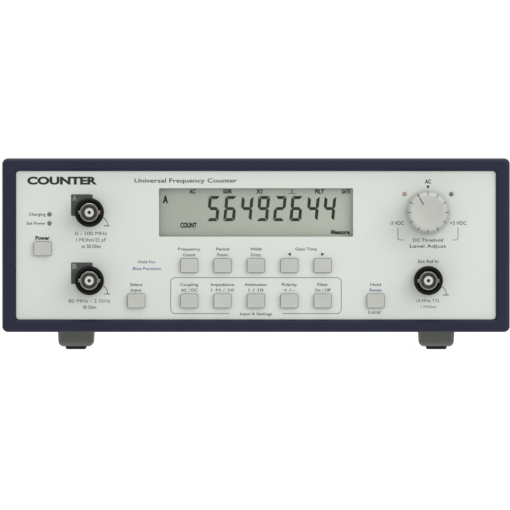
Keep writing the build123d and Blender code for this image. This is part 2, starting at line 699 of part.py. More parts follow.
def bottom_chassis():
    """The folded tray: floor, side flanges, two front tabs and a rear flange."""
    front, back = CASE_FRONT, REAR_PLATE_FRONT
    body = block(-TRAY_HALF, TRAY_HALF, front, back, CASE_BOTTOM, CHASSIS_TOP)
    for side in (-1, 1):
        edge = sorted((side * (TRAY_HALF - SHEET), side * TRAY_HALF))
        body += block(*edge, front, back, CASE_BOTTOM, TRAY_SIDE_TOP)
    flange = (-TRAY_REAR_HALF, TRAY_REAR_HALF, back - PLATE, back)
    body += block(*flange, CASE_BOTTOM, TRAY_TAB_TOP)
    body -= block(DC_X - 7, USB_X + 8, back - PLATE - 1, back + 1, MAIN_BOARD_BOTTOM - 1, TRAY_TAB_TOP + 1)
    for x, z in TAB_POSTS:
        body += block(x - TAB_HALF, x + TAB_HALF, front, front + PLATE, CASE_BOTTOM, TRAY_TAB_TOP)
        body -= rod(x, z, front - 1, front + PLATE + 1, TAB_HOLE_R)
    for side, d in SIDE_SCREWS:
        body -= cross_rod(side * (TRAY_HALF - 3), side * (TRAY_HALF + 3), d, SIDE_SCREW_Z, M3_R)
    for x, z in REAR_SCREWS[0::2]:
        body -= rod(x, z, back - 3, back + 1, M3_R)
    for x, d in foot_screw_places():
        body -= post(x, d, CASE_BOTTOM - 1, CHASSIS_TOP + 1, M3_R)
    return body


def rear_panel():
    """The rear plate, cut out for the data and supply sockets."""
    top, bottom = CASE_TOP - SHEET - SLIP, CHASSIS_TOP
    corner = FOLD_RADIUS - SHEET + SLIP
    outline = rounded(2 * (TRAY_HALF - SLIP), top - bottom, corner, 0, (top + bottom) / 2)
    width, height = USB_WIDTH + 2 * REAR_CUTOUT, USB_HEIGHT + 2 * REAR_CUTOUT
    outline -= rounded(width, height, SMALL_CORNER, USB_X, USB_Z)
    outline -= round_outline(DC_COLLAR_R + REAR_CUTOUT, DC_X, DC_Z)
    for x, z in REAR_SCREWS:
        outline -= round_outline(COVER_HOLE_R, x, z)
    return slab(outline, REAR_PLATE_FRONT, REAR_PLATE_BACK)


def case_screws():
    """The case's screws: four through the rear plate and two through each side of the cover."""
    size = (M3_R, CASE_SCREW, M3_HEAD_R)
    seats = [(x, FRONT_Y + REAR_PLATE_BACK, z) for x, z in REAR_SCREWS]
    made = [screw(at, (0, 1, 0), *size) for at in seats]
    for side, d in SIDE_SCREWS:
        at = (side * CASE_WIDTH / 2, FRONT_Y + d, SIDE_SCREW_Z)
        made.append(screw(at, (side, 0, 0), *size))
    return Compound(made)


# ---------------------------------------------------------------- feet
def foot(x, width, front, length):
    """A moulded foot, drawn in and rounded below, with a pad seat and a screw hole above the pad."""
    tall = CASE_BOTTOM - FOOT_BOTTOM
    underside = Plane.XY.offset(FOOT_BOTTOM) * Pos(x, FRONT_Y + front + length / 2)
    corner = FOOT_UPRIGHT_EDGE - FOOT_TAPER
    outline = underside * RectangleRounded(width - 2 * FOOT_TAPER, length - 2 * FOOT_TAPER, corner)
    body = extrude(outline, tall, taper=-math.degrees(math.atan2(FOOT_TAPER, tall)))
    body = fillet(body.faces().sort_by(Axis.Z)[0].edges(), FOOT_LOWER_EDGE)
    pad_front = front + PAD_SETBACK
    pad_back = pad_front + PAD_LENGTH
    half = PAD_WIDTH / 2
    body -= block(x - half, x + half, pad_front, pad_back, 0, FOOT_BOTTOM + PAD_SUNK)
    middle = (pad_front + pad_back) / 2
    body -= post(x, middle, 0, FOOT_SCREW_SEAT, FOOT_SCREW_HEAD_R)
    return body - post(x, middle, 0, CASE_BOTTOM + 1, FOOT_SCREW_R)


def front_foot(side):
    """A front foot, with a slot under it that holds the folded tilt leg."""
    x, front = side * FRONT_FOOT_X, FRONT_FOOT_FRONT
    body = foot(x, FRONT_FOOT_WIDTH, front, FRONT_FOOT_LENGTH)
    half = LEG_WIDTH / 2 + LEG_SLOT_CLEAR
    hinge = front + LEG_HINGE
    slot_front = hinge - LEG_BARREL_R - 0.8
    body -= block(x - half, x + half, slot_front, hinge + LEG_LENGTH + 2, 0, LEG_SLOT_TOP)
    body -= cross_rod(x - LEG_PIN_HALF, x + LEG_PIN_HALF, hinge, LEG_HINGE_Z, LEG_PIN_R)
    return body - post(x, front + LEG_SCREW_SETBACK, 0, CASE_BOTTOM + 1, FOOT_SCREW_R)


def rear_foot(side):
    """A plain rear foot."""
    return foot(side * REAR_FOOT_X, REAR_FOOT_WIDTH, REAR_FOOT_FRONT, REAR_FOOT_LENGTH)


def pad_places():
    """(x, front depth) of each pad."""
    fronts = [(side * FRONT_FOOT_X, FRONT_FOOT_FRONT + PAD_SETBACK) for side in (-1, 1)]
    return fronts + [(side * REAR_FOOT_X, REAR_FOOT_FRONT + PAD_SETBACK) for side in (-1, 1)]


def foot_pads():
    """The rubber pads, tapered below the feet."""
    made = []
    for x, front in pad_places():
        half = PAD_WIDTH / 2
        pad = block(x - half, x + half, front, front + PAD_LENGTH, 0, FOOT_BOTTOM + PAD_SUNK)
        made.append(chamfer(pad.faces().sort_by(Axis.Z)[0].edges(), 1.1, 0.6))
    return Compound(made)


def tilt_leg(side):
    """A folding leg: a barrel round its pin and a flat arm with a fingernail notch at the tip."""
    x, hinge = side * FRONT_FOOT_X, FRONT_FOOT_FRONT + LEG_HINGE
    half = LEG_WIDTH / 2
    tip, low, high = hinge + LEG_LENGTH, LEG_HINGE_Z - LEG_UNDER, LEG_HINGE_Z + LEG_OVER
    arm = block(x - half, x + half, hinge, tip, low, high)
    arm = fillet(arm.faces().sort_by(Axis.Y)[-1].edges().filter_by(Axis.X), LEG_TIP_EDGE)
    notch_back = tip - NOTCH_SETBACK
    arm -= block(x - NOTCH_HALF, x + NOTCH_HALF, notch_back - NOTCH_LENGTH, notch_back, 0, low + 1)
    arm += cross_rod(x - half, x + half, hinge, LEG_HINGE_Z, LEG_BARREL_R)
    return arm - cross_rod(x - half - 1, x + half + 1, hinge, LEG_HINGE_Z, LEG_PIN_R + LEG_PIN_CLEAR)


def tilt_leg_pins():
    """The steel pins that the tilt legs turn on."""
    hinge = FRONT_FOOT_FRONT + LEG_HINGE
    half = LEG_PIN_HALF
    middles = (-FRONT_FOOT_X, FRONT_FOOT_X)
    return Compound([cross_rod(x - half, x + half, hinge, LEG_HINGE_Z, LEG_PIN_R) for x in middles])


def foot_screw_places():
    """(x, depth) of the screws that hold the feet: one over each pad, and one more in a front foot."""
    over_pads = [(x, front + PAD_LENGTH / 2) for x, front in pad_places()]
    return over_pads + [(side * FRONT_FOOT_X, FRONT_FOOT_FRONT + LEG_SCREW_SETBACK) for side in (-1, 1)]


def foot_screws():
    """The screws up through the feet into the chassis floor. Those over the legs have low heads."""
    made = []
    for index, (x, d) in enumerate(foot_screw_places()):
        over_pad = index < len(pad_places())
        seat = FOOT_SCREW_SEAT if over_pad else LEG_SCREW_SEAT
        head = FOOT_SCREW_HEAD if over_pad else LEG_SCREW_HEAD
        made.append(screw((x, FRONT_Y + d, seat), (0, 0, -1), M3_R, FOOT_SCREW, M3_HEAD_R, head))
    return Compound(made)


# ---------------------------------------------------------------- rear connectors
def usb_mouth():
    """The outline of the data socket's mouth, with its two upper corners bevelled."""
    mouth = Pos(USB_X, USB_Z) * Rectangle(USB_MOUTH_WIDTH, USB_MOUTH_HEIGHT)
    return chamfer(mouth.vertices().group_by(Axis.Y)[-1], USB_MOUTH_BEVEL)


def usb_shell():
    """The data socket's metal shell, with a bevelled square mouth."""
    front = CONNECTOR_BACK - USB_LENGTH
    body = slab(rounded(USB_WIDTH, USB_HEIGHT, SMALL_CORNER, USB_X, USB_Z), front, CONNECTOR_BACK)
    return body - slab(usb_mouth(), front + USB_WALL, CONNECTOR_BACK + 1)


def usb_tongue():
    """The data socket's insulating tongue, on a base at the back of the shell."""
    floor = CONNECTOR_BACK - USB_LENGTH + USB_WALL
    tongue = rounded(USB_TONGUE_WIDTH, USB_TONGUE_HEIGHT, SMALL_CORNER, USB_X, USB_Z)
    base = slab(usb_mouth(), floor, floor + USB_WALL)
    return base + slab(tongue, floor + USB_WALL, CONNECTOR_BACK - USB_TONGUE_SETBACK)


def dc_socket():
    """The supply socket's moulded body, with a round mouth through the rear plate."""
    left, right = DC_X - DC_WIDTH / 2, DC_X + DC_WIDTH / 2
    inner_back = REAR_PLATE_FRONT - REAR_CUTOUT
    front = CONNECTOR_BACK - DC_LENGTH
    body = block(left, right, front, inner_back, MAIN_BOARD_TOP, MAIN_BOARD_TOP + DC_HEIGHT)
    body += rod(DC_X, DC_Z, inner_back, CONNECTOR_BACK, DC_COLLAR_R)
    return body - rod(DC_X, DC_Z, CONNECTOR_BACK - DC_BORE, CONNECTOR_BACK + 1, DC_BORE_R)


def dc_pin():
    """The supply socket's centre pin."""
    body = rod(DC_X, DC_Z, CONNECTOR_BACK - DC_BORE, CONNECTOR_BACK - DC_PIN_SETBACK, DC_PIN_R)
    return fillet(body.faces().sort_by(Axis.Y)[-1].edges(), DC_PIN_R * 0.4)


# ---------------------------------------------------------------- inside
def main_board():
    """The main board, on standoffs over the chassis floor."""
    across = (MAIN_BOARD_LEFT, MAIN_BOARD_RIGHT)
    along = (MAIN_BOARD_FRONT, MAIN_BOARD_BACK)
    body = block(*across, *along, MAIN_BOARD_BOTTOM, MAIN_BOARD_TOP)
    for x, d in MAIN_STANDOFFS:
        body -= post(x, d, MAIN_BOARD_BOTTOM - 1, MAIN_BOARD_TOP + 1, BOARD_HOLE_R)
    return body


def board_standoffs():
    """The hexagonal standoffs under the main board."""
    made = []
    for x, d in MAIN_STANDOFFS:
        hexagon = RegularPolygon(STANDOFF_FLATS / 2, 6, major_radius=False)
        body = extrude(Pos(x, FRONT_Y + d, CHASSIS_TOP) * hexagon, STANDOFF)
        made.append(body - post(x, d, CHASSIS_TOP + 1, MAIN_BOARD_TOP, M3_R))
    return Compound(made)


def board_screws():
    """The screws that hold the main board on its standoffs."""
    places = [(x, FRONT_Y + d, MAIN_BOARD_TOP) for x, d in MAIN_STANDOFFS]
    return Compound([screw(at, (0, 0, 1), M3_R, BOARD_SCREW, M3_HEAD_R) for at in places])


def on_main_board(x, d, width, length, height, lift=0.0):
    """A rectangular component standing on the main board."""
    low = MAIN_BOARD_TOP + lift
    return block(x - width / 2, x + width / 2, d - length / 2, d + length / 2, low, low + height)


def logic_chips():
    """The processor, the counter array and four smaller packages."""
    chips = [on_main_board(-20, 120, 20, 20, 1.6), on_main_board(-58, 122, 14, 14, 1.4)]
    chips += [on_main_board(x, 160, 6, 9, 1.5) for x in (-70, -50, -30, -10)]
    return Compound(chips)


def input_shield():
    """The tinned screening can over the high-frequency input stage, open underneath."""
    outer = on_main_board(-100, 66, 26, 30, 9)
    outer = fillet(outer.edges().filter_by(Axis.Z), 1.2)
    return outer - on_main_board(-100, 66, 25, 29, 8.5)


def crystal_oscillator():
    """The temperature-compensated crystal oscillator's can, on its flange."""
    can = on_main_board(20, 150, 18, 18, 9, 0.8)
    can = fillet(can.edges().filter_by(Axis.Z), 2.5)
    return can + on_main_board(20, 150, 20.5, 20.5, 0.8)


def input_relays():
    """The relays that switch coupling, impedance and attenuation."""
    return Compound([on_main_board(x, 90, 9, 14, 5.5) for x in (-108, -94, -80)])


def supply_capacitors():
    """The supply's can capacitors."""
    top = MAIN_BOARD_TOP
    return Compound([post(x, 200, top, top + 12.5, 4.0) for x in (-100, -14, -2, 10)])


def supply_inductor():
    """The charger's wound inductor."""
    return post(-100, 180, MAIN_BOARD_TOP, MAIN_BOARD_TOP + 7, 6.0)


def coax_headers():
    """The small coaxial headers on the main board where the socket leads end."""
    top = MAIN_BOARD_TOP
    ends = COAX_ENDS.values()
    return Compound([post(x, d, top, top + SMALL_HEADER, COAX_HEADER_R) for x, d in ends])


def ribbon_headers():
    """The ribbon's two headers: on the display board's back and on the main board."""
    half, rise = HEADER_WIDTH / 2, SMALL_HEADER / 2
    upper = block(-half, half, BOARD_BACK, BOARD_BACK + HEADER, RIBBON_Z - rise, RIBBON_Z + rise)
    return Compound([upper, on_main_board(0, RIBBON_DEPTH, HEADER_WIDTH, SMALL_HEADER, HEADER)])


def ribbon_cable():
    """The flat cable from the display board down to the main board."""
    start, end = BOARD_BACK + HEADER, MAIN_BOARD_TOP + HEADER
    points = [(start, RIBBON_Z), (RIBBON_DEPTH, RIBBON_Z), (RIBBON_DEPTH, end)]
    route = FilletPolyline(*[(0, FRONT_Y + d, z) for d, z in points], radius=7)
    section = Plane(origin=route @ 0, x_dir=(1, 0, 0), z_dir=route % 0)
    return sweep(section * Rectangle(RIBBON_WIDTH, RIBBON), path=route)


def input_a_lead():
    """The coaxial lead from the upper input socket, over and down to its header."""
    (x, z), (end_x, end_d) = SOCKETS["input_a"], COAX_ENDS["input_a"]
    points = [(x, LEAD_START, z), (end_x, end_d, z), (end_x, end_d, MAIN_BOARD_TOP + SMALL_HEADER)]
    return tube_along(points, 10.0, COAX_R)


def input_b_lead():
    """The coaxial lead from the lower input socket, across to its own header."""
    (x, z), (end_x, end_d) = SOCKETS["input_b"], COAX_ENDS["input_b"]
    points = [
        (x, LEAD_START, z),
        (x, 31.0, z),
        (end_x, end_d - 3, z + 6),
        (end_x, end_d, z - 1),
        (end_x, end_d, MAIN_BOARD_TOP + SMALL_HEADER),
    ]
    return tube_along(points, [5.0, 5.0, 1.8], COAX_R)


def reference_lead():
    """The coaxial lead from the reference socket, across to the main board."""
    (x, z), (end_x, end_d) = SOCKETS["reference"], COAX_ENDS["reference"]
    header = (end_x, end_d, MAIN_BOARD_TOP + SMALL_HEADER)
    points = [(x, LEAD_START, z), (x, 36, z), (end_x, end_d, z), header]
    return tube_along(points, [7.0, 5.0], COAX_R)


def battery_cells():
    """Three rechargeable cells, side by side in their tray."""
    made = []
    for index in (-1, 0, 1):
        x, z = CELL_X + index * CELL_PITCH, TRAY_FLOOR + CELL_R
        start, end = CELL_DEPTH - CELL_LENGTH / 2, CELL_DEPTH + CELL_LENGTH / 2
        body = rod(x, z, start, end - CELL_CAP, CELL_R)
        body = fillet(body.faces().sort_by(Axis.Y)[-1].edges(), 0.8)
        made.append(body + rod(x, z, end - CELL_CAP, end, CELL_CAP_R))
    return Compound(made)


def battery_tray():
    """The open tray that holds the cells on the chassis floor."""
    reach = CELL_LENGTH / 2 + TRAY_END
    near, far = CELL_DEPTH - reach, CELL_DEPTH + reach
    outer = block(TRAY_LEFT, TRAY_RIGHT, near, far, CHASSIS_TOP, TRAY_FLOOR + TRAY_HEIGHT)
    across = (TRAY_LEFT + TRAY_WALL, TRAY_RIGHT - TRAY_WALL)
    return outer - block(*across, near + TRAY_WALL, far - TRAY_WALL, TRAY_FLOOR, MIDDLE_Z)


def battery_lead():
    """The lead from the cells' tray to the main board's edge."""
    z = MAIN_BOARD_TOP + 3
    start = CELL_LEAD_DEPTH + 8
    points = [
        (TRAY_LEFT, start, z),
        (TRAY_LEFT - 9, start, z),
        (TRAY_LEFT - 13, CELL_LEAD_DEPTH, z),
        (TRAY_LEFT - CELL_LEAD_RUN, CELL_LEAD_DEPTH, z),
    ]
    return tube_along(points, 3.0, 1.2)


def battery_header():
    """The main board's header for the battery lead."""
    right = TRAY_LEFT - CELL_LEAD_RUN
    near, far = CELL_LEAD_DEPTH - 4, CELL_LEAD_DEPTH + 4
    return block(right - HEADER, right, near, far, MAIN_BOARD_TOP, MAIN_BOARD_TOP + SMALL_HEADER)


# ---------------------------------------------------------------- export
def all_parts():
    """Every node by name."""
    components = [logic_chips(), input_relays()]
    supply = [*supply_capacitors().solids(), supply_inductor()]
    headers = [*coax_headers().solids(), *ribbon_headers().solids(), battery_header()]
    made = {
        "front_bezel": front_bezel(),
        "front_panel": front_panel(),
        "panel_film": panel_film(),
        "display_window": display_window(),
        "display_glass": display_glass(),
        "display_holder": display_holder(),
        "contact_strips": contact_strips(),
        "display_board": display_board(),
        "key_switches": key_switches(),
        "indicator_lamps": indicator_lamps(),
        "panel_screws": panel_screws(),
        "socket_collars": socket_collars(),
        "socket_dielectrics": socket_dielectrics(),
        "socket_contacts": socket_contacts(),
        "socket_nuts": socket_nuts(),
        "threshold_pot": threshold_pot(),
        "threshold_shaft": threshold_shaft(),
        "threshold_knob": threshold_knob(),
        "top_cover": top_cover(),
        "bottom_chassis": bottom_chassis(),
        "rear_panel": rear_panel(),
        "case_screws": case_screws(),
        "feet": Compound([make(side) for make in (front_foot, rear_foot) for side in (-1, 1)]),
        "foot_pads": foot_pads(),
        "foot_screws": foot_screws(),
        "tilt_leg_left": tilt_leg(-1),
        "tilt_leg_right": tilt_leg(1),
        "tilt_leg_pins": tilt_leg_pins(),
        "usb_shell": usb_shell(),
        "usb_tongue": usb_tongue(),
        "dc_socket": dc_socket(),
        "dc_pin": dc_pin(),
        "main_board": main_board(),
        "board_standoffs": board_standoffs(),
        "board_screws": board_screws(),
        "board_components": Compound([part for group in components for part in group.solids()]),
        "input_shield": input_shield(),
        "crystal_oscillator": crystal_oscillator(),
        "supply_components": Compound(supply),
        "board_headers": Compound(headers),
        "ribbon_cable": ribbon_cable(),
        "internal_leads": Compound([input_a_lead(), input_b_lead(), reference_lead(), battery_lead()]),
        "battery_cells": battery_cells(),
        "battery_tray": battery_tray(),
    }
    for name, (x, z) in SOCKETS.items():
        made[f"{name}_shell"] = socket_shell(x, z)
    for name, (x, z) in KEYS.items():
        made[name] = key(x, z)
    return made


os.makedirs("parts", exist_ok=True)
for node, shape in all_parts().items():
    export_step(shape, f"parts/{node}.step")
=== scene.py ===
import math

import bmesh
import bpy
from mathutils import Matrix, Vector


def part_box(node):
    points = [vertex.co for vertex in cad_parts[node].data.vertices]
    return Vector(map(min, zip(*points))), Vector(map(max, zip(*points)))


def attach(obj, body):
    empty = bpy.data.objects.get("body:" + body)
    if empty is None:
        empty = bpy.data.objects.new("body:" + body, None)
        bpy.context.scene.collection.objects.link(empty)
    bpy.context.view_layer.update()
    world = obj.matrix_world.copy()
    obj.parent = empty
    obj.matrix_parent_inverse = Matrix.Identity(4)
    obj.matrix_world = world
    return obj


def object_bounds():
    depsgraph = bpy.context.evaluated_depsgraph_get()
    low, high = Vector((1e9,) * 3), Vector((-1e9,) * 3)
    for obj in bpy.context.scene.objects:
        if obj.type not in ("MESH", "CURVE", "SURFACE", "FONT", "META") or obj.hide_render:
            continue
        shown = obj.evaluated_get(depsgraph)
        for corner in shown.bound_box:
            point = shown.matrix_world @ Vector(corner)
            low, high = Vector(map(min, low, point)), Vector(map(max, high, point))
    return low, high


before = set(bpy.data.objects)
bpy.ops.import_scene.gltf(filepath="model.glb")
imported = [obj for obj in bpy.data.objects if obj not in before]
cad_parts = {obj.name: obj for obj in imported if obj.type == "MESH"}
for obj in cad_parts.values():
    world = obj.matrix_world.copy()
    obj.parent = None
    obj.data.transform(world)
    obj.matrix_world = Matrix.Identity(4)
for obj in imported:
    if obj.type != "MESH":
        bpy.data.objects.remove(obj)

MM = 0.001
CAD_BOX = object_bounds()

# ---------------------------------------------------------------- places, all read from the frame
FILM_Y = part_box("panel_film")[0].y
GLASS_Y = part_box("display_glass")[0].y
BEZEL_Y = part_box("front_bezel")[0].y
REAR_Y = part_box("rear_panel")[1].y
INK = 0.03 * MM  # how far printed ink stands off the face under it


def centre(node):
    """The middle of a CAD node's box."""
    low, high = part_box(node)
    return (low + high) / 2


def spot(node):
    """(x, z) of a node's middle on the panel, in millimetres."""
    middle = centre(node)
    return middle.x / MM, middle.z / MM


# ---------------------------------------------------------------- node materials
class Nodes:
    """Small helper for building one procedural material."""

    def __init__(self, name):
        self.material = bpy.data.materials.new(name)
        self.material.use_nodes = True
        self.tree = self.material.node_tree
        self.shader = self.tree.nodes["Principled BSDF"]
        self.place = self.add("ShaderNodeTexCoord").outputs["Object"]

    def add(self, kind, **settings):
        node = self.tree.nodes.new(kind)
        for key, value in settings.items():
            setattr(node, key, value)
        return node

    def link(self, a, b):
        self.tree.links.new(a, b)

    def noise(self, scale, detail=3.0, stretch=None):
        """Noise at a scale in cycles per metre, optionally stretched along an axis."""
        node = self.add("ShaderNodeTexNoise")
        node.inputs["Scale"].default_value = scale
        node.inputs["Detail"].default_value = detail
        source = self.place
        if stretch:
            mapping = self.add("ShaderNodeMapping")
            mapping.inputs["Scale"].default_value = stretch
            self.link(source, mapping.inputs["Vector"])
            source = mapping.outputs["Vector"]
        self.link(source, node.inputs["Vector"])
        return node.outputs["Fac"]

    def remap(self, value, low, high, start=0.3, end=0.7):
        """Maps noise from start..end to low..high."""
        node = self.add("ShaderNodeMapRange")
        for name, number in (("From Min", start), ("From Max", end), ("To Min", low), ("To Max", high)):
            node.inputs[name].default_value = number
        self.link(value, node.inputs["Value"])
        return node.outputs["Result"]

    def mix(self, fac, first, second):
        """Mixes two colours, each a tuple or a socket."""
        node = self.add("ShaderNodeMix", data_type="RGBA")
        for socket, value in ((node.inputs[6], first), (node.inputs[7], second)):
            if isinstance(value, tuple):
                socket.default_value = (*value, 1)
            else:
                self.link(value, socket)
        self.link(fac, node.inputs[0])
        return node.outputs[2]

    def bump(self, heights, strength=0.3):
        """Chains bumps, each a (height socket, distance in millimetres) pair."""
        normal = None
        for height, distance in heights:
            node = self.add("ShaderNodeBump")
            node.inputs["Strength"].default_value = strength
            node.inputs["Distance"].default_value = distance * MM
            self.link(height, node.inputs["Height"])
            if normal is not None:
                self.link(normal, node.inputs["Normal"])
            normal = node.outputs["Normal"]
        self.link(normal, self.shader.inputs["Normal"])

    def set(self, **values):
        for name, value in values.items():
            self.shader.inputs[name.replace("_", " ")].default_value = value

    def edge_wear_and_highlight(self, width=0.25):
        """0 on flat faces and up to 1 on convex edges, which are lightened partly as handling wear and
        partly as a painted highlight.
        """
        geometry = self.add("ShaderNodeNewGeometry")
        return self.remap(geometry.outputs["Pointiness"], 0.0, 1.0, 0.5, 0.5 + width)


def shade(colour, factor):
    """A colour made lighter or darker."""
    return tuple(min(1.0, c * factor) for c in colour)


def moulded(name, colour, roughness=0.5, grain=2600.0, depth=0.03, mottle=0.06, specular=0.4):
    """Moulded plastic: a fine spark-eroded grain, faint mottling, and convex edges lightened partly as
    handling wear and partly as a painted highlight.
    """
    n = Nodes(name)
    fine, broad = n.noise(grain, 2.0), n.noise(38.0, 4.0)
    base = n.mix(n.remap(broad, 0.0, 1.0), shade(colour, 1 - mottle), shade(colour, 1 + mottle))
    # painted highlight: convex edges are made 1.25 times lighter, partly as wear and partly standing in for
    # light catching them
    base = n.mix(n.edge_wear_and_highlight(), base, shade(colour, 1.25))
    n.link(base, n.shader.inputs["Base Color"])
    n.link(n.remap(fine, roughness - 0.06, roughness + 0.06), n.shader.inputs["Roughness"])
    n.bump([(fine, depth), (n.noise(grain / 6, 3.0), depth * 1.5)])
    n.set(Specular_IOR_Level=specular)
    return n.material


def painted(name, colour, roughness=0.58):
    """Textured paint on sheet steel: a leathery orange-peel grain."""
    n = Nodes(name)
    cells = n.add("ShaderNodeTexVoronoi")
    cells.inputs["Scale"].default_value = 1500.0
    n.link(n.place, cells.inputs["Vector"])
    peel, broad = n.noise(900.0, 3.0), n.noise(22.0, 4.0)
    base = n.mix(n.remap(broad, 0.0, 1.0), shade(colour, 0.9), shade(colour, 1.1))
    # painted highlight: convex edges of the paint are made 1.8 times lighter, partly as wear and partly
    # standing in for light catching them
    base = n.mix(n.edge_wear_and_highlight(), base, shade(colour, 1.8))
    n.link(base, n.shader.inputs["Base Color"])
    n.link(n.remap(peel, roughness - 0.08, roughness + 0.1), n.shader.inputs["Roughness"])
    n.bump([(cells.outputs["Distance"], 0.04), (peel, 0.03)], 0.35)
    n.set(Specular_IOR_Level=0.12)
    return n.material


def metal(name, colour, roughness=0.28, brush=(1, 1, 1), scratch=0.02, tarnish=0.12):
    """Plated or bare metal: fine marks along the brush direction, and cloudy tarnish."""
    n = Nodes(name)
    marks, cloud = n.noise(1800.0, 4.0, brush), n.noise(160.0, 4.0)
    base = n.mix(n.remap(cloud, 0.0, 1.0), colour, shade(colour, 1 - tarnish))
    n.link(base, n.shader.inputs["Base Color"])
    n.link(n.remap(marks, roughness - 0.07, roughness + 0.1), n.shader.inputs["Roughness"])
    n.bump([(marks, scratch)])
    n.set(Metallic=1.0)
    return n.material


def rubber(name, colour):
    """Moulded rubber: matt, with a little grey bloom and dust."""
    n = Nodes(name)
    bloom, fine = n.noise(90.0, 5.0), n.noise(2200.0, 3.0)
    base = n.mix(n.remap(bloom, 0.0, 1.0, 0.45, 0.75), colour, shade(colour, 2.0))
    n.link(base, n.shader.inputs["Base Color"])
    n.link(n.remap(fine, 0.72, 0.9), n.shader.inputs["Roughness"])
    n.bump([(fine, 0.05)], 0.4)
    n.set(Specular_IOR_Level=0.25)
    return n.material


def printed_film():
    """The panel's film: screen-printed matt polycarbonate with a very fine tooth."""
    n = Nodes("printed_film")
    tooth, broad = n.noise(3200.0, 2.0), n.noise(14.0, 3.0)
    colour = (0.50, 0.524, 0.49)
    base = n.mix(n.remap(broad, 0.0, 1.0), shade(colour, 0.985), shade(colour, 1.015))
    n.link(base, n.shader.inputs["Base Color"])
    n.link(n.remap(tooth, 0.5, 0.6), n.shader.inputs["Roughness"])
    n.bump([(tooth, 0.008)], 0.25)
    n.set(Specular_IOR_Level=0.3)
    return n.material


def cell_face():
    """The liquid crystal cell: a grey-green reflective layer under glass, with faint clouding, and painted
    light that makes it darker at the left and lighter at the right.
    """
    n = Nodes("cell_face")
    cloud, weave = n.noise(30.0, 3.0), n.noise(5200.0, 2.0)
    colour = (0.275, 0.304, 0.254)
    split = n.add("ShaderNodeSeparateXYZ")
    n.link(n.place, split.inputs["Vector"])
    low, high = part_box("display_glass")
    # painted light: the cell's colour grows lighter from left to right, as if lit from the right
    across = n.remap(split.outputs["X"], 0.0, 1.0, low.x, high.x)
    base = n.mix(across, shade(colour, 0.93), shade(colour, 1.2))
    base = n.mix(n.remap(cloud, 0.0, 0.5), base, shade(colour, 1.08))
    base = n.mix(n.remap(weave, 0.0, 0.08), base, shade(colour, 1.3))
    n.link(base, n.shader.inputs["Base Color"])
    n.link(n.remap(weave, 0.34, 0.46), n.shader.inputs["Roughness"])
    n.set(Specular_IOR_Level=0.3)
    return n.material


def clear_pane():
    """A clear moulded pane, with faint wipe marks in its gloss."""
    n = Nodes("clear_pane")
    wipe = n.noise(260.0, 3.0, (1, 1, 0.2))
    n.link(n.remap(wipe, 0.08, 0.14), n.shader.inputs["Roughness"])
    base = n.mix(n.remap(wipe, 0.0, 1.0), (0.5, 0.52, 0.5), (0.56, 0.58, 0.56))
    n.link(base, n.shader.inputs["Base Color"])
    n.set(Alpha=0.02, IOR=1.49, Specular_IOR_Level=0.2)
    return n.material


def ink(name, colour, roughness=0.55, specular=0.2):
    """Screen ink: slightly uneven density and a soft tooth."""
    n = Nodes(name)
    density = n.noise(1400.0, 3.0)
    base = n.mix(n.remap(density, 0.0, 1.0), shade(colour, 0.88), shade(colour, 1.16))
    n.link(base, n.shader.inputs["Base Color"])
    n.link(n.remap(density, roughness - 0.05, roughness + 0.08), n.shader.inputs["Roughness"])
    n.bump([(density, 0.01)], 0.2)
    n.set(Specular_IOR_Level=specular)
    return n.material


def lamp_resin():
    """The indicator lamps' resin: grey, but the left threshold lamp has a pink tint."""
    n = Nodes("lamp_resin")
    split = n.add("ShaderNodeSeparateXYZ")
    n.link(n.place, split.inputs["Vector"])
    knob_x = centre("threshold_knob").x
    before_knob = n.remap(split.outputs["X"], 1.0, 0.0, knob_x - MM, knob_x)
    right_half = n.remap(split.outputs["X"], 0.0, 1.0, 0.0, MM)
    both = n.add("ShaderNodeMath", operation="MULTIPLY")
    n.link(before_knob, both.inputs[0])
    n.link(right_half, both.inputs[1])
    cloud = n.noise(900.0, 3.0)
    grey = n.mix(n.remap(cloud, 0.0, 1.0), (0.09, 0.095, 0.088), (0.13, 0.135, 0.128))
    base = n.mix(both.outputs[0], grey, (0.34, 0.235, 0.205))
    n.link(base, n.shader.inputs["Base Color"])
    n.link(n.remap(cloud, 0.16, 0.26), n.shader.inputs["Roughness"])
    n.set(Coat_Weight=0.4)
    return n.material


def board():
    """Solder-masked laminate: green lacquer over glass weave, with fine copper tracks showing."""
    n = Nodes("board_mask")
    tracks = n.add("ShaderNodeTexBrick")
    for name, value in (("Scale", 55.0), ("Mortar Size", 0.04), ("Row Height", 0.12), ("Brick Width", 1.6)):
        tracks.inputs[name].default_value = value
    n.link(n.place, tracks.inputs["Vector"])
    weave = n.noise(1600.0, 2.0)
    base = n.mix(n.remap(weave, 0.0, 1.0), (0.012, 0.10, 0.035), (0.02, 0.15, 0.05))
    base = n.mix(n.remap(tracks.outputs["Fac"], 0.0, 0.6, 0.0, 1.0), base, (0.05, 0.26, 0.08))
    n.link(base, n.shader.inputs["Base Color"])
    n.link(n.remap(weave, 0.25, 0.4), n.shader.inputs["Roughness"])
    n.bump([(tracks.outputs["Fac"], 0.03)], 0.3)
    return n.material


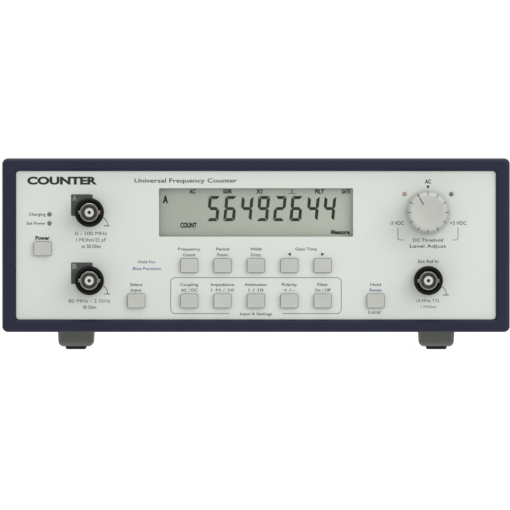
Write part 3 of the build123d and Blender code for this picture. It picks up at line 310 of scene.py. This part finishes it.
def ribbed(name, colour, pitch, roughness=0.5):
    """A surface with parallel conductors or layers at a pitch in millimetres across X."""
    n = Nodes(name)
    wave = n.add("ShaderNodeTexWave", wave_type="BANDS", bands_direction="X")
    wave.inputs["Scale"].default_value = 0.314 / (pitch * MM)
    wave.inputs["Distortion"].default_value = 0.0
    n.link(n.place, wave.inputs["Vector"])
    base = n.mix(n.remap(wave.outputs["Fac"], 0.0, 1.0, 0.0, 1.0), shade(colour, 0.7), shade(colour, 1.2))
    n.link(base, n.shader.inputs["Base Color"])
    n.link(n.remap(n.noise(900.0), roughness - 0.05, roughness + 0.1), n.shader.inputs["Roughness"])
    n.bump([(wave.outputs["Fac"], 0.2)], 0.5)
    return n.material


NAVY = (0.0118, 0.0136, 0.0295)
GREY = (0.36, 0.37, 0.34)
PLASTIC_DARK = (0.009, 0.0095, 0.0085)
ZINC = (0.62, 0.62, 0.6)

LOOKS = {
    "bezel": moulded("bezel_navy", NAVY, 0.45, depth=0.03, mottle=0.05, specular=0.15),
    "paint": painted("case_navy_paint", NAVY),
    "film": printed_film(),
    "panel": moulded("panel_grey", (0.5, 0.52, 0.49), 0.5),
    "pane": clear_pane(),
    "cell": cell_face(),
    "white": moulded("holder_white", (0.72, 0.72, 0.7), 0.5),
    "strip": ribbed("contact_strip", (0.5, 0.24, 0.26), 0.25, 0.7),
    "board": board(),
    "black": moulded("moulded_black", PLASTIC_DARK, 0.42, depth=0.02, specular=0.06),
    "lamp": lamp_resin(),
    "zinc": metal("zinc_plate", ZINC, 0.32, scratch=0.02),
    "nickel": metal("satin_nickel", (0.21, 0.205, 0.195), 0.26, (1, 0.08, 1)),
    "insulator": moulded("white_polymer", (0.42, 0.41, 0.40), 0.35, mottle=0.03, depth=0.01, specular=0.25),
    "contact": metal("dull_silver", (0.17, 0.16, 0.15), 0.35, (1, 0.1, 1)),
    "key": moulded("key_grey", GREY, 0.5, grain=3000.0, depth=0.02),
    "knob": moulded("knob_grey", GREY, 0.45, grain=2400.0, depth=0.02, mottle=0.03),
    "foot": moulded("foot_grey", (0.105, 0.105, 0.094), 0.5, grain=1800.0, depth=0.04),
    "pad": rubber("pad_rubber", (0.006, 0.006, 0.006)),
    "chassis": metal("chassis_zinc", (0.6, 0.61, 0.6), 0.36, (1, 0.05, 1), tarnish=0.16),
    "can": metal("tinned_can", (0.66, 0.66, 0.63), 0.34, (0.1, 1, 1)),
    "sleeve": moulded("sleeve_blue", (0.03, 0.12, 0.26), 0.3, depth=0.01),
    "header": moulded("header_ivory", (0.6, 0.57, 0.48), 0.5),
    "chip": moulded("chip_black", (0.025, 0.025, 0.027), 0.55, grain=3500.0),
    "ribbon": ribbed("ribbon_grey", (0.4, 0.41, 0.42), 1.27),
    "jacket": moulded("lead_jacket", (0.09, 0.06, 0.045), 0.4),
}

USE = {
    "front_bezel": "bezel", "front_panel": "panel", "panel_film": "film", "display_window": "pane",
    "display_glass": "cell", "display_holder": "white", "contact_strips": "strip",
    "display_board": "board", "key_switches": "chip", "indicator_lamps": "lamp", "panel_screws": "zinc",
    "socket_collars": "black", "socket_dielectrics": "insulator", "socket_contacts": "contact",
    "socket_nuts": "nickel", "threshold_pot": "zinc", "threshold_shaft": "zinc",
    "threshold_knob": "knob", "top_cover": "paint", "bottom_chassis": "chassis", "rear_panel": "paint",
    "case_screws": "zinc", "feet": "foot", "foot_pads": "pad", "foot_screws": "zinc",
    "tilt_leg_left": "foot", "tilt_leg_right": "foot", "tilt_leg_pins": "zinc", "usb_shell": "nickel",
    "usb_tongue": "insulator", "dc_socket": "black", "dc_pin": "nickel", "main_board": "board",
    "board_standoffs": "zinc", "board_screws": "zinc", "board_components": "chip",
    "input_shield": "can", "crystal_oscillator": "can", "supply_components": "sleeve",
    "board_headers": "header", "ribbon_cable": "ribbon", "internal_leads": "jacket",
    "battery_cells": "sleeve", "battery_tray": "black", "input_a_shell": "nickel",
    "input_b_shell": "nickel", "reference_shell": "nickel",
}
KEYS = [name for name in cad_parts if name.endswith("_key")]
USE.update({name: "key" for name in KEYS})


def dress(node, look):
    """Gives a CAD node its material."""
    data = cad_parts[node].data
    for index in range(max(1, len(data.materials))):
        if data.materials:
            data.materials[index] = LOOKS[look]
        else:
            data.materials.append(LOOKS[look])


for node_name, look_name in USE.items():
    dress(node_name, look_name)

# ---------------------------------------------------------------- printed pieces
INKS = {
    "legend": ink("legend_ink", (0.035, 0.038, 0.035)),
    "title": ink("title_ink", (0.02, 0.022, 0.02)),
    "blue": ink("blue_ink", (0.06, 0.07, 0.17)),
    "square": ink("square_ink", (0.058, 0.065, 0.060)),
    "pale": ink("pale_ink", (0.2, 0.215, 0.2)),
    "line": ink("line_ink", (0.2, 0.21, 0.19)),
    "segment": ink("segment_dark", (0.006, 0.010, 0.006), 0.5, 0.05),
    "notice": ink("notice_dark", (0.006, 0.009, 0.006), 0.5, 0.05),
    "rear": ink("rear_ink", (0.45, 0.46, 0.45)),
}


class Print:
    """Flat printed shapes in one ink that join into one mesh on one body, at one depth."""

    def __init__(self, name, ink_name, y, facing=-1, body="case"):
        self.name, self.ink, self.y, self.facing, self.body = name, ink_name, y, facing, body
        self.mesh = bmesh.new()

    def point(self, x, z):
        """A vertex from panel millimetres, as its reader sees them."""
        return self.mesh.verts.new((-self.facing * x * MM, self.y, z * MM))

    def shape(self, points):
        """A filled outline of (x, z) points in millimetres."""
        corners = [self.point(x, z) for x, z in points]
        self.mesh.faces.new(corners)

    def band(self, inner, outer):
        """A strip of quads between two lines of points."""
        a, b = [self.point(*p) for p in inner], [self.point(*p) for p in outer]
        for i in range(len(a) - 1):
            self.mesh.faces.new((a[i], a[i + 1], b[i + 1], b[i]))

    def text(self, words, x, z, height, width=None, align="centre", bold=None):
        """Words with capitals of that height, centred up and down on z, optionally fitted to a width."""
        curve = bpy.data.curves.new("words", "FONT")
        if bold is None:
            bold = 0.0 if "M" in words else TEXT_WEIGHT  # a thickened M closes up
        curve.body, curve.size, curve.offset = words, 1.0, bold
        curve.resolution_u = 4
        holder = bpy.data.objects.new("words", curve)
        bpy.context.scene.collection.objects.link(holder)
        bpy.context.view_layer.update()
        mesh = bpy.data.meshes.new_from_object(holder)
        bpy.data.objects.remove(holder)
        bpy.data.curves.remove(curve)
        left, right = min(v.co.x for v in mesh.vertices), max(v.co.x for v in mesh.vertices)
        up = height / CAP_SHARE
        across = width / (right - left) if width else up
        start = {"left": 0.0, "centre": -(right - left) / 2, "right": left - right}[align]
        made = {}
        for v in mesh.vertices:
            at = x + (v.co.x - left + start) * across
            made[v.index] = self.point(at, z - height / 2 + v.co.y * up)
        for polygon in mesh.polygons:
            self.mesh.faces.new([made[i] for i in polygon.vertices])
        bpy.data.meshes.remove(mesh)

    def finish(self):
        """Makes the piece, faces it to its reader and rides it on its body."""
        bmesh.ops.recalc_face_normals(self.mesh, faces=self.mesh.faces)
        for face in self.mesh.faces:
            if face.normal.y * self.facing < 0:
                face.normal_flip()
        data = bpy.data.meshes.new(self.name)
        self.mesh.to_mesh(data)
        self.mesh.free()
        data.materials.append(INKS[self.ink])
        piece = bpy.data.objects.new(self.name, data)
        bpy.context.scene.collection.objects.link(piece)
        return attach(piece, self.body)


TEXT_WEIGHT = 0.012  # how far the typeface's outlines are pushed out, as a share of its size
CAP_SHARE = 0.729  # the built-in typeface's capital height, as a share of its size


def arc(x, z, radius, start, end, steps=12):
    """Points along an arc, in degrees anticlockwise from the right."""
    turns = [math.radians(start + (end - start) * i / steps) for i in range(steps + 1)]
    return [(x + radius * math.cos(t), z + radius * math.sin(t)) for t in turns]


def rounded_line(left, right, low, high, corner):
    """The path of a rounded rectangle, from the bottom's middle anticlockwise round to it again."""
    path = [((left + right) / 2, low)]
    path += arc(right - corner, low + corner, corner, -90, 0, 6)
    path += arc(right - corner, high - corner, corner, 0, 90, 6)
    path += arc(left + corner, high - corner, corner, 90, 180, 6)
    path += arc(left + corner, low + corner, corner, 180, 270, 6)
    return path + [((left + right) / 2, low)]


# Legends: (words, x, z, capital height, width), in millimetres on the panel
UPPER_LABEL_Z, UPPER_SECOND_Z = 51.6, 48.7
LOWER_LABEL_Z, LOWER_SECOND_Z = 33.4, 30.6
LEGEND = 1.55
knob_x, knob_z = spot("threshold_knob")
a_x, a_z = spot("input_a_shell")
b_x, b_z = spot("input_b_shell")
ref_x, ref_z = spot("reference_shell")


def title_row():
    """The generic heading along the panel's top edge."""
    heading = Print("heading_print", "title", FILM_Y - INK)
    heading.text("COUNTER", -117.2, 86.7, 3.8, 35.8, "left", 0.05)
    heading.finish()
    words = Print("description_print", "legend", FILM_Y - INK)
    words.text("Universal Frequency Counter", -62.3, 86.7, 2.2, 52.6, "left", 0.015)
    words.finish()


def legends():
    """Every dark legend on the panel."""
    p = Print("legend_print", "legend", FILM_Y - INK)
    power_x = spot("power_key")[0]
    p.text("Charging", -107.8, 69.4, LEGEND, 8.6, "right")
    p.text("Ext Power", -107.8, 64.8, LEGEND, 9.6, "right")
    p.text("Power", power_x, 57.3, 2.0, 7.4, bold=0.045)
    a_lines = (("0 - 100 MHz", 16.5), ("1 MOhm/25 pF", 15.4), ("or 50 Ohm", 9.8))
    for line, (words, width) in enumerate(a_lines):
        p.text(words, a_x + 0.85, a_z - 10.7 - 3.3 * line, 1.9, width)
    for line, (words, width) in enumerate((("80 MHz - 2 GHz", 21.4), ("50 Ohm", 6.8))):
        p.text(words, b_x, b_z - 10.4 - 3.2 * line, 1.8, width)
    p.text("Frequency", spot("frequency_key")[0], UPPER_LABEL_Z, LEGEND, 11.4)
    p.text("Count", spot("frequency_key")[0], UPPER_SECOND_Z, LEGEND, 6.4)
    p.text("Period", spot("period_key")[0], UPPER_LABEL_Z, LEGEND, 6.6)
    p.text("Width", spot("width_key")[0], UPPER_LABEL_Z, LEGEND, 6.0)
    gate = (spot("gate_shorter_key")[0] + spot("gate_longer_key")[0]) / 2
    p.text("Gate Time", gate, UPPER_LABEL_Z, LEGEND, 11.0)
    for name, way in (("gate_shorter_key", -1), ("gate_longer_key", 1)):
        x = spot(name)[0]
        p.shape([(x + way * 0.9, 48.9), (x - way * 0.8, 48.9 + 0.95), (x - way * 0.8, 48.9 - 0.95)])
    lower = {
        "select_input_key": ("Select", 6.4, "Input", 5.4),
        "coupling_key": ("Coupling", 9.4, "AC / DC", 8.6),
        "impedance_key": ("Impedance", 12.0, "1 M / 50", 11.8),
        "attenuator_key": ("Attenuator", 11.6, "1 / 10", 7.6),
        "polarity_key": ("Polarity", 7.8, "+ / -", 5.6),
        "filter_key": ("Filter", 5.4, "On / Off", 8.0),
        "hold_key": ("Hold", 5.4, None, 0),
    }
    for name, (first, first_width, second, second_width) in lower.items():
        x = spot(name)[0]
        p.text(first, x, LOWER_LABEL_Z, LEGEND, first_width)
        if second:
            p.text(second, x, LOWER_SECOND_Z, LEGEND, second_width)
    p.text("Local", spot("hold_key")[0] - 0.7, 19.3, LEGEND, 6.0)
    p.text("Input A Settings", 0.0, 18.4, LEGEND, 16.4)
    p.text("AC", knob_x, knob_z + 15.9, 2.0, 3.2, bold=0.04)
    p.shape(arc(knob_x, knob_z + 13.2, 0.72, 0, 360, 16)[:-1])
    p.text("-3 VDC", knob_x - 16.0, knob_z - 5.4, 1.9, 7.4)
    p.text("+3 VDC", knob_x + 15.5, knob_z - 5.4, 1.9, 8.6)
    p.text("DC Threshold", knob_x, knob_z - 14.1, 1.7, 15.4)
    p.text("Level Adjust", knob_x, knob_z - 17.2, 1.7, 18.6)
    p.text("Ext Ref In", ref_x, ref_z + 9.9, 1.7, 10.4)
    p.text("10 MHz TTL", ref_x, ref_z - 10.3, 1.6, 12.0)
    p.text("1 MOhm", ref_x, ref_z - 13.4, 1.5, 7.8)
    p.finish()


def blue_legends():
    """The second-function legends, in blue-grey."""
    p = Print("blue_print", "blue", FILM_Y - INK)
    p.text("Hold For", -55.9, 45.0, LEGEND, 8.8)
    p.text("Blue Function", -55.9, 41.6, LEGEND, 14.4)
    p.text("Ratio", spot("period_key")[0], UPPER_SECOND_Z, LEGEND, 5.4)
    p.text("Duty", spot("width_key")[0], UPPER_SECOND_Z, LEGEND, 5.2)
    p.text("Reset", spot("hold_key")[0], LOWER_SECOND_Z, LEGEND, 6.2)
    p.finish()


def socket_marks():
    """The dark squares behind inputs A and B, their letters, and the earth marks by each socket."""
    squares = Print("channel_squares", "square", FILM_Y - INK)
    letters = Print("channel_letters", "pale", FILM_Y - 2 * INK)
    for name, x, z in (("A", a_x, a_z), ("B", b_x, b_z)):
        left, high, side = x - 9.45, z + 9.3, 11.1
        path = rounded_line(left, left + side, high - side, high, 0.6)
        squares.shape(path[:-1])
        letters.text(name, left + 1.75, high - 1.95, 2.7, 2.2, bold=0.03)
    squares.finish()
    letters.finish()
    marks = Print("earth_marks", "legend", FILM_Y - INK)
    for x, z in ((a_x, a_z - 0.3), (b_x, b_z - 0.3), (ref_x, ref_z - 0.8)):
        marks.band(arc(x + 4.6, z - 6.4, 4.5, 60, 0, 8), arc(x + 4.6, z - 6.4, 4.83, 60, 0, 8))
        marks.band([(x + 7.4, z - 6.4), (x + 10.5, z - 6.4)], [(x + 7.4, z - 6.8), (x + 10.5, z - 6.8)])
    marks.finish()


def panel_lines():
    """The thin grey outline round the lower keys and the brackets under the knob's scale."""
    p = Print("panel_lines", "line", FILM_Y - INK)
    left, right, low, high, half = -43.7, 43.7, 18.5, 36.9, 0.22
    outer = rounded_line(left - half, right + half, low - half, high + half, 2.6)
    inner = rounded_line(left + half, right - half, low + half, high - half, 2.6 - 2 * half)
    outer[0], inner[0] = (13.5, low - half), (13.5, low + half)
    outer[-1], inner[-1] = (-13.6, low - half), (-13.6, low + half)
    p.band(inner, outer)
    for way in (-1, 1):
        x, top, foot = knob_x + way * 15.4, knob_z - 7.8, knob_z - 14.1
        corner = 0.9
        for_in, for_out = [], []
        for radius, made in ((corner - half, for_in), (corner + half, for_out)):
            first, last = (0, -90) if way > 0 else (180, 270)
            turn = arc(x - way * corner, foot + corner, radius, first, last, 6)
            side = x - way * corner + way * radius
            made += [(side, top)] + turn + [(x - way * 3.0, foot + corner - radius)]
        p.band(for_in, for_out)
    p.finish()


# Seven-segment digits: which segments each digit lights, from the top clockwise, then the middle
DIGIT_SEGMENTS = {
    "0": "abcdef", "1": "bc", "2": "abged", "3": "abgcd", "4": "fgbc",
    "5": "afgcd", "6": "afgedc", "7": "abc", "8": "abcdefg", "9": "abcdfg",
}
READING = "56492644"
DIGIT_HEIGHT, DIGIT_WIDTH, DIGIT_PITCH = 12.9, 6.0, 8.48
SEGMENT, SEGMENT_GAP, SLANT = 1.6, 0.05, math.tan(math.radians(5.4))
SEGMENT_CORNER = 0.35  # cut off each outer corner of a digit
DIGITS_LEFT, DIGITS_FOOT = -25.35, 65.8


def segment_outline(name):
    """One segment's mitred outline in an upright digit whose lower left corner is the origin."""
    w, h, t, g = DIGIT_WIDTH, DIGIT_HEIGHT, SEGMENT, SEGMENT_GAP
    half = h / 2
    flat = {"a": (h, -1), "d": (0.0, 1)}
    if name in flat:
        edge, inward = flat[name]
        inner = edge + inward * t
        near, far = g + SEGMENT_CORNER, w - g - SEGMENT_CORNER
        return [(near, edge), (far, edge), (w - g - t, inner), (g + t, inner)]
    if name == "g":
        tip, near = t * 0.5 + g, t + g
        above = [(tip, half), (near, half + t / 2), (w - near, half + t / 2)]
        return above + [(w - tip, half), (w - near, half - t / 2), (near, half - t / 2)]
    outer, inward = (w, -1) if name in "bc" else (0.0, 1)
    inner = outer + inward * t
    middle = outer + inward * t / 2
    if name in "bf":
        low, high = half + g, h - g
        start = [(outer, high - SEGMENT_CORNER), (inner, high - t)]
        return start + [(inner, low + t / 2), (middle, low), (outer, low + t / 2)]
    low, high = g, half - g
    start = [(outer, low + SEGMENT_CORNER), (inner, low + t)]
    return start + [(inner, high - t / 2), (middle, high), (outer, high - t / 2)]


def display():
    """The digits and the small notices on the liquid crystal cell."""
    level = GLASS_Y - INK
    digits = Print("display_digits", "segment", level)
    for index, digit in enumerate(READING):
        for name in DIGIT_SEGMENTS[digit]:
            left = DIGITS_LEFT + index * DIGIT_PITCH
            outline = segment_outline(name)
            digits.shape([(left + x + z * SLANT, DIGITS_FOOT + z) for x, z in outline])
    digits.finish()
    notices = Print("display_notices", "notice", level)
    notices.text("A", -46.4, 77.15, 3.4, 2.9, bold=0.085)
    notices.text("COUNT", -34.6, 63.8, 2.5, 8.4, bold=0.06)
    notices.text("Measure", 43.2, 60.3, 2.2, 9.6, bold=0.045)
    tops = [("AC", -32.6, 3.2), ("50R", -14.5, 4.8), ("X1", 1.6, 3.2)]
    tops += [("FILT", 32.6, 4.8), ("GATE", 46.0, 4.4)]
    for words, x, width in tops:
        notices.text(words, x, 81.1, 2.2, width, bold=0.045)
    rising, falling = [(16.6, 79.9), (18.2, 79.9), (18.2, 82.1)], [(18.9, 82.1), (18.9, 79.9), (20.4, 79.9)]
    for points in (rising, falling):
        for (x0, z0), (x1, z1) in zip(points, points[1:]):
            dx, dz = (0.15, 0.0) if x0 == x1 else (0.0, 0.15)
            notices.shape([(x0 - dx, z0 - dz), (x1 - dx, z1 - dz), (x1 + dx, z1 + dz), (x0 + dx, z0 + dz)])
    notices.finish()


def rear_legends():
    """Plain legends over the rear connectors."""
    p = Print("rear_print", "rear", REAR_Y + INK, facing=1)
    for node, words in (("usb_shell", "DATA"), ("dc_socket", "DC INPUT")):
        x, z = spot(node)
        p.text(words, -x, z + 9.5, 2.2)
    p.finish()


title_row()
legends()
blue_legends()
socket_marks()
panel_lines()
display()
rear_legends()

# ---------------------------------------------------------------- stage, light and camera
FLOOR_HALF = 8.0


def paper():
    """The stage's plain pale floor."""
    n = Nodes("paper_floor")
    tooth = n.noise(60.0, 4.0)
    base = n.mix(n.remap(tooth, 0.0, 1.0), (0.19, 0.19, 0.19), (0.21, 0.21, 0.21))
    n.link(base, n.shader.inputs["Base Color"])
    n.set(Roughness=0.9, Specular_IOR_Level=0.0, Emission_Color=(1, 1, 1, 1), Emission_Strength=0.91)
    return n.material


floor_mesh = bmesh.new()
bmesh.ops.create_grid(floor_mesh, x_segments=4, y_segments=4, size=FLOOR_HALF)
floor_data = bpy.data.meshes.new("floor")
floor_mesh.to_mesh(floor_data)
floor_mesh.free()
floor_data.materials.append(paper())
floor = bpy.data.objects.new("floor", floor_data)
floor.location.z = CAD_BOX[0].z
bpy.context.scene.collection.objects.link(floor)

world = bpy.data.worlds.new("studio")
world.use_nodes = True
world.node_tree.nodes["Background"].inputs["Color"].default_value = (1, 1, 1, 1)
world.node_tree.nodes["Background"].inputs["Strength"].default_value = 1.0
bpy.context.scene.world = world


def soft_light(name, at, target, size, watts):
    """A square area light at a point, aimed at a target."""
    lamp = bpy.data.lights.new(name, "AREA")
    lamp.size, lamp.energy = size, watts
    holder = bpy.data.objects.new(name, lamp)
    holder.location = at
    holder.rotation_euler = (Vector(target) - Vector(at)).to_track_quat("-Z", "Y").to_euler()
    bpy.context.scene.collection.objects.link(holder)


body_middle = Vector((0, BEZEL_Y, (CAD_BOX[0].z + CAD_BOX[1].z) / 2))
soft_light("key_light", (0.85, BEZEL_Y - 0.95, 0.6), body_middle, 0.9, 7.6)
soft_light("top_light", (0.0, BEZEL_Y + 0.1, 1.5), body_middle, 1.3, 15.0)

CAMERA_DISTANCE = 12.0
CAMERA_ASIDE, CAMERA_HEIGHT = 0.03, 0.11
FRAME_WIDTH = 0.2612  # what the picture's width takes in at the bezel
AIM = Vector((-0.0005, BEZEL_Y, 0.0485))
camera_data = bpy.data.cameras.new("camera")
camera = bpy.data.objects.new("camera", camera_data)
camera.location = (CAMERA_ASIDE, BEZEL_Y - CAMERA_DISTANCE, CAMERA_HEIGHT)
camera.rotation_euler = (AIM - camera.location).to_track_quat("-Z", "Y").to_euler()
camera_data.sensor_width = 36.0
camera_data.lens = camera_data.sensor_width * (AIM - camera.location).length / FRAME_WIDTH
camera_data.clip_start, camera_data.clip_end = 0.05, 50.0
bpy.context.scene.collection.objects.link(camera)
bpy.context.scene.camera = camera

bpy.context.scene.view_settings.view_transform = "Standard"
